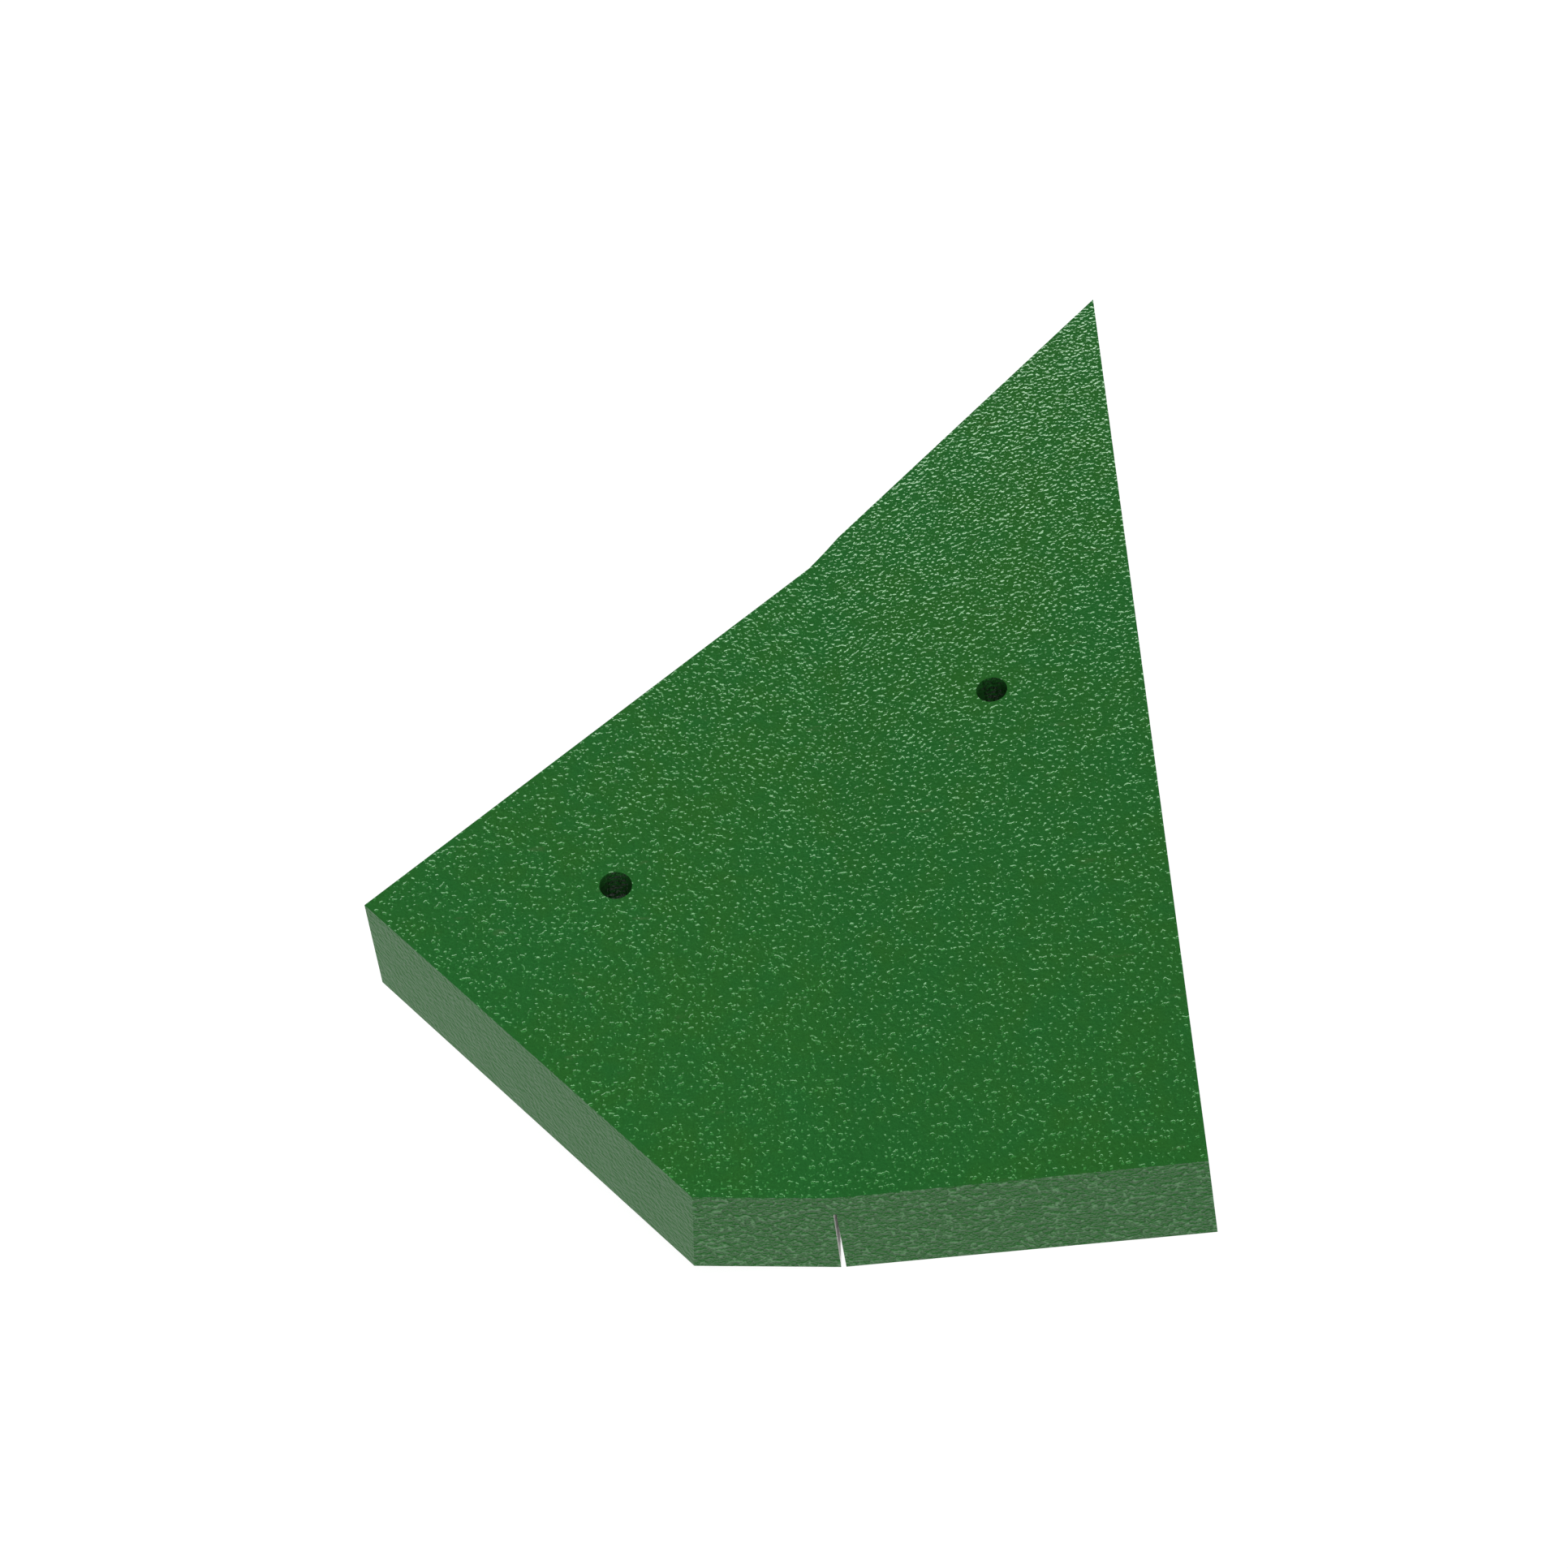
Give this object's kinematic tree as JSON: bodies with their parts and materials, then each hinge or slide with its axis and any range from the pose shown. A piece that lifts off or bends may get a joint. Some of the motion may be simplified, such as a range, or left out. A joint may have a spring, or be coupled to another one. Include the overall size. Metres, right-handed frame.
{
  "type": "climbing wall panel",
  "caption": "Green pebble-grain climbing panel folded once into a shallow valley, with two bolt holes for holds and a deep skirt of mitred rails.",
  "frame": {"origin": "middle of the outer box at its foot, in the plane of the right facet's rim", "axes": "+Y up the fold from the bottom edge, +X across to the side edge, +Z out of the right facet's face; the left facet rises at 13.1 degrees towards -X"},
  "size_m": [0.2966, 0.4226, 0.0888],
  "materials": {
    "panel_plastic": "pebble-grain green sheet",
    "skirt_plastic": "pebble-grain green sheet, sawn edges",
    "block_plastic": "smooth green sheet, drilled",
    "zinc_steel": "zinc plated, pressed",
    "plated_steel": "galvanised, folded",
    "screw_steel": "zinc plated"
  },
  "bodies": {
    "root": {"face_plate": "panel_plastic", "rail_lower_left": "skirt_plastic", "rail_bottom_left": "skirt_plastic", "rail_bottom_right": "skirt_plastic", "rail_side": "skirt_plastic", "rail_upper_right": "skirt_plastic", "rail_upper_left": "skirt_plastic", "hold_block_left": "block_plastic", "hold_block_right": "block_plastic", "tee_nut_left": "zinc_steel", "tee_nut_right": "zinc_steel", "fold_strap_lower": "plated_steel", "fold_strap_upper": "plated_steel", "bracket_lower_left": "plated_steel", "bracket_upper_left": "plated_steel", "bracket_side_lower": "plated_steel", "bracket_side_upper": "plated_steel", "rail_screws": "screw_steel", "strap_screws": "screw_steel", "block_screws": "screw_steel", "bracket_screws": "screw_steel", "tee_nut_screws": "screw_steel"}
  },
  "joints": []
}
